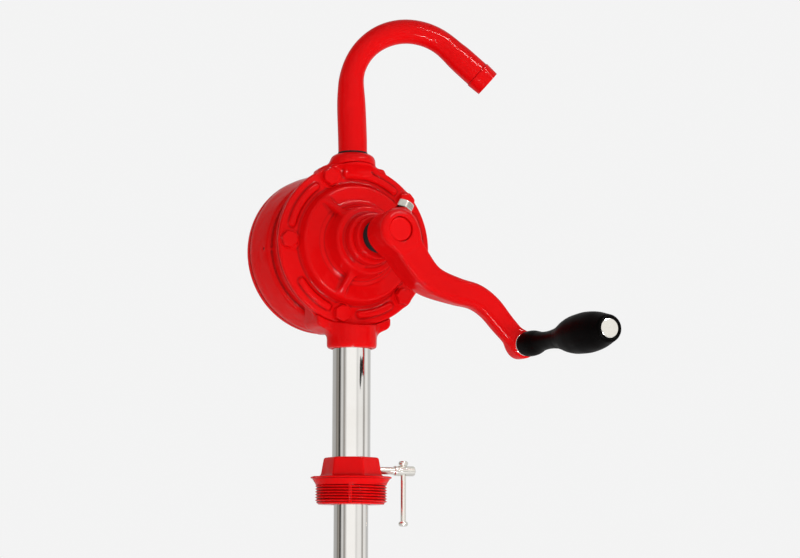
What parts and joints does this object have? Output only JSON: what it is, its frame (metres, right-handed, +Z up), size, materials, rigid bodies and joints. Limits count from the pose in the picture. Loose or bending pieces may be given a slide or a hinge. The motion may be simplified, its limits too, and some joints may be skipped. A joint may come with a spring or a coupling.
{
  "type": "rotary hand pump",
  "caption": "Hand-cranked rotary vane barrel pump with swan-neck crank, swivelling spout, telescopic suction tube and sliding threaded bung adapter.",
  "frame": {"origin": "the middle of the strainer's flat foot, on the common axis of the suction tube and the two ports", "axes": "+Z up along the suction tube and the spout's riser, -Y towards the crank along the shaft, +X to the right seen from the crank's side"},
  "size_m": [0.1966, 0.3085, 0.7197],
  "materials": {
    "red_paint": "gloss",
    "polished_tube": "polished",
    "plain_steel": "machined",
    "zinc_plate": "zinc plated",
    "bronze": "machined",
    "cast_iron": "machined casting",
    "black_grip": "gloss",
    "rubber": "matte",
    "gasket": "pressed fibre"
  },
  "bodies": {
    "pump": {"pump_body": "red_paint", "front_cover": "red_paint", "rear_cover": "red_paint", "front_gasket": "gasket", "rear_gasket": "gasket", "front_bush": "bronze", "rear_bush": "bronze", "gland_packing": "gasket", "gland_nut": "red_paint", "spout_seal": "rubber", "shaft_wiper": "rubber", "front_cover_bolt_1": "red_paint", "front_cover_bolt_2": "red_paint", "front_cover_bolt_3": "red_paint", "front_cover_bolt_4": "red_paint", "front_cover_bolt_5": "red_paint", "rear_cover_bolt_1": "red_paint", "rear_cover_bolt_2": "red_paint", "rear_cover_bolt_3": "red_paint", "rear_cover_bolt_4": "red_paint", "rear_cover_bolt_5": "red_paint", "upper_tube": "polished_tube", "upper_tube_seal": "rubber"},
    "crank": {"shaft": "plain_steel", "rotor": "cast_iron", "rotor_key": "plain_steel", "vane_spring_1": "plain_steel", "vane_spring_2": "plain_steel", "vane_spring_3": "plain_steel", "crank_arm": "red_paint", "crank_set_bolt": "zinc_plate", "grip_spindle": "zinc_plate", "spindle_nut": "zinc_plate", "grip_washer": "zinc_plate"},
    "grip": {"grip": "black_grip"},
    "vane_1": {"vane_1": "bronze"},
    "vane_2": {"vane_2": "bronze"},
    "vane_3": {"vane_3": "bronze"},
    "spout": {"spout": "red_paint"},
    "adapter": {"bung_adapter": "red_paint"},
    "clamp_screw": {"clamp_screw": "zinc_plate"},
    "tommy_bar": {"tommy_bar": "zinc_plate", "tommy_bar_knob": "zinc_plate"},
    "middle_tube": {"middle_tube": "polished_tube", "middle_tube_seal": "rubber"},
    "lower_tube": {"lower_tube": "polished_tube", "foot_strainer": "zinc_plate"}
  },
  "joints": [
    {"name": "crank_turn", "type": "hinge", "parent": "pump", "child": "crank", "pos_m": [0, -0.08, 0.522], "axis": [0, 1, 0], "continuous": true},
    {"name": "grip_spin", "type": "hinge", "parent": "crank", "child": "grip", "pos_m": [0.112, -0.16, 0.434], "axis": [0, 1, 0], "continuous": true},
    {"name": "vane_1_slide", "type": "slide", "parent": "crank", "child": "vane_1", "axis": [0.866, 0, 0.5], "range_m": [-0.0025, 0]},
    {"name": "vane_2_slide", "type": "slide", "parent": "crank", "child": "vane_2", "axis": [-0.866, 0, 0.5], "range_m": [-0.0025, 0]},
    {"name": "vane_3_slide", "type": "slide", "parent": "crank", "child": "vane_3", "axis": [0, 0, -1], "range_m": [-0.0025, 0]},
    {"name": "spout_turn", "type": "hinge", "parent": "pump", "child": "spout", "pos_m": [0, 0, 0.612], "axis": [0, 0, 1], "range_deg": [-10, 190]},
    {"name": "adapter_slide", "type": "slide", "parent": "pump", "child": "adapter", "axis": [0, 0, 1], "range_m": [0, 0.07]},
    {"name": "clamp_screw_turn", "type": "hinge", "parent": "adapter", "child": "clamp_screw", "pos_m": [0.03, 0, 0.3336], "axis": [1, 0, 0], "range_deg": [-360, 360]},
    {"name": "tommy_bar_slide", "type": "slide", "parent": "clamp_screw", "child": "tommy_bar", "axis": [0, 0, 1], "range_m": [0, 0.037]},
    {"name": "middle_tube_slide", "type": "slide", "parent": "pump", "child": "middle_tube", "axis": [0, 0, -1], "range_m": [0, 0.085]},
    {"name": "lower_tube_slide", "type": "slide", "parent": "middle_tube", "child": "lower_tube", "axis": [0, 0, -1], "range_m": [0, 0.34]}
  ]
}
